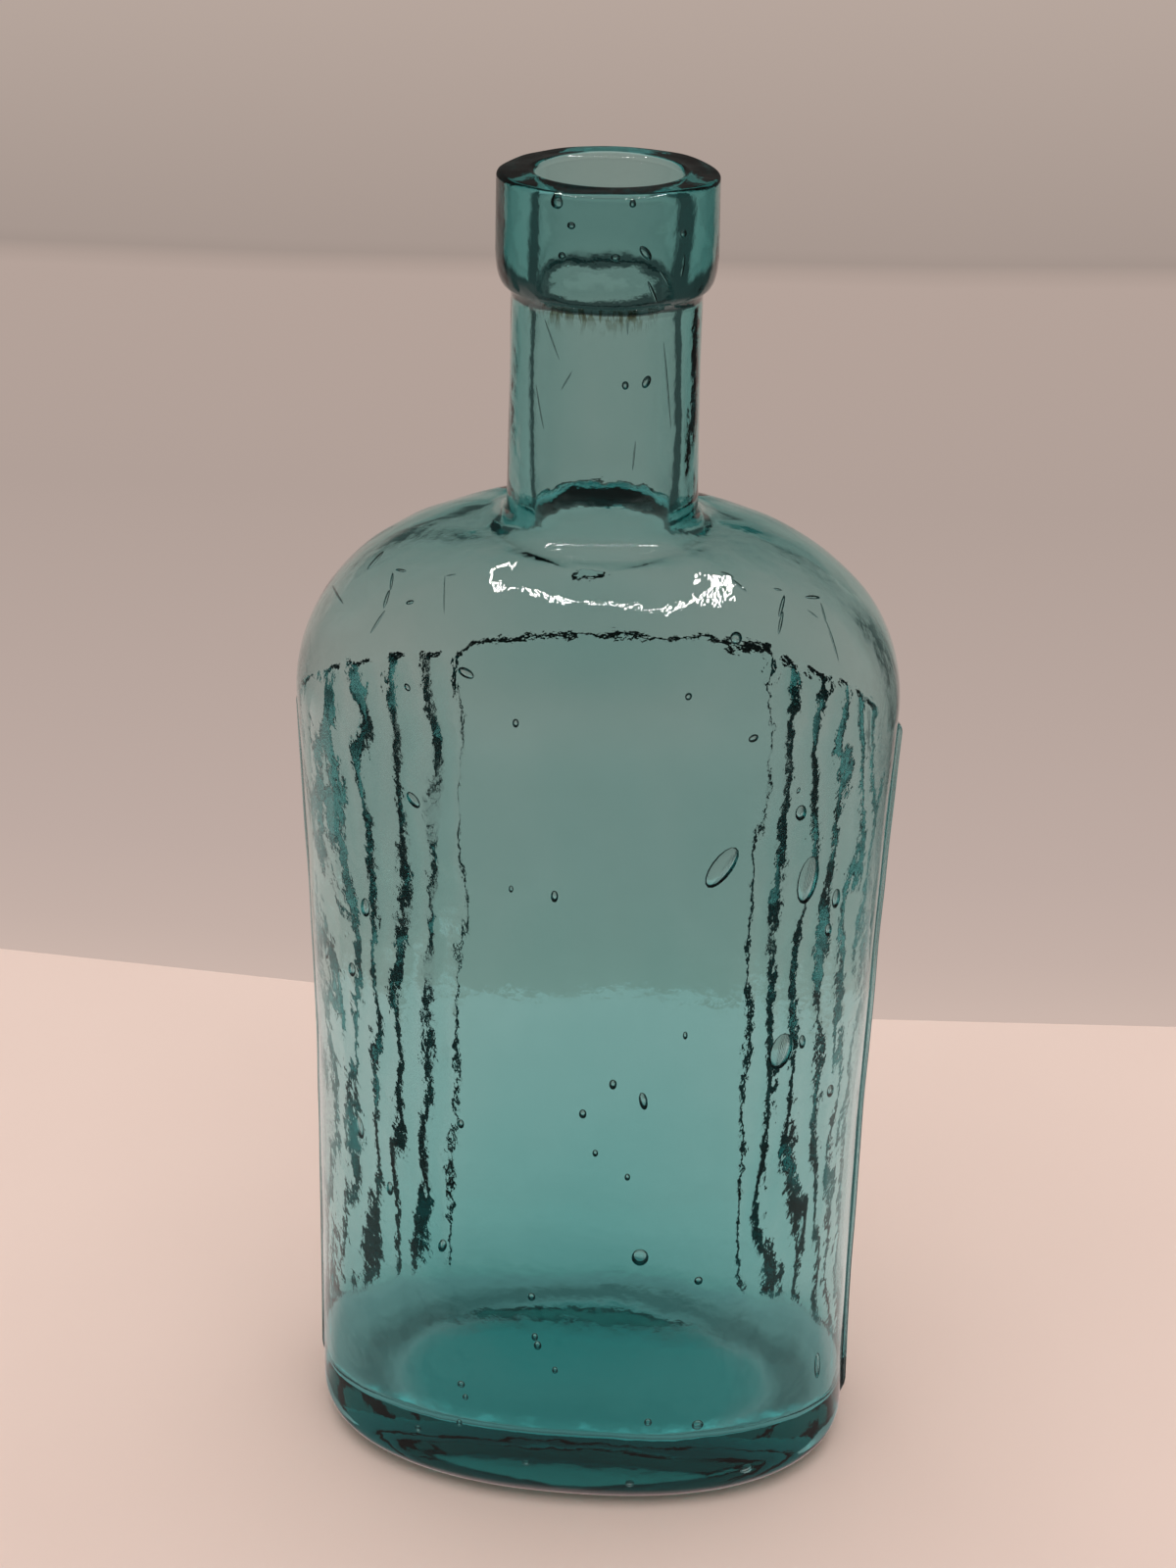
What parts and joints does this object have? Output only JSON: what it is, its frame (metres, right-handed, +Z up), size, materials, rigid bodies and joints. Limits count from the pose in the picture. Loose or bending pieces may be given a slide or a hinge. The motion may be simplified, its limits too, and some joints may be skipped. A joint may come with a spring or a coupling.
{
  "type": "poison bottle",
  "caption": "Flat oval aqua glass bottle with a ribbed back, a raised arched panel, rounded shoulders, a round neck and an applied collar lip.",
  "frame": {"origin": "centre of the foot, on the surface that the bottle stands on", "axes": "+Z up along the neck, +X across the width towards one mould seam, +Y through the depth towards the ribbed face"},
  "size_m": [0.0764, 0.046, 0.178],
  "materials": {
    "aqua_glass": "clear aqua glass, glossy, with cords and bubbles",
    "lip_glass": "thick aqua glass, glossy, laid on by hand"
  },
  "bodies": {
    "root": {"glass_body": "aqua_glass", "applied_lip": "lip_glass"}
  },
  "joints": []
}
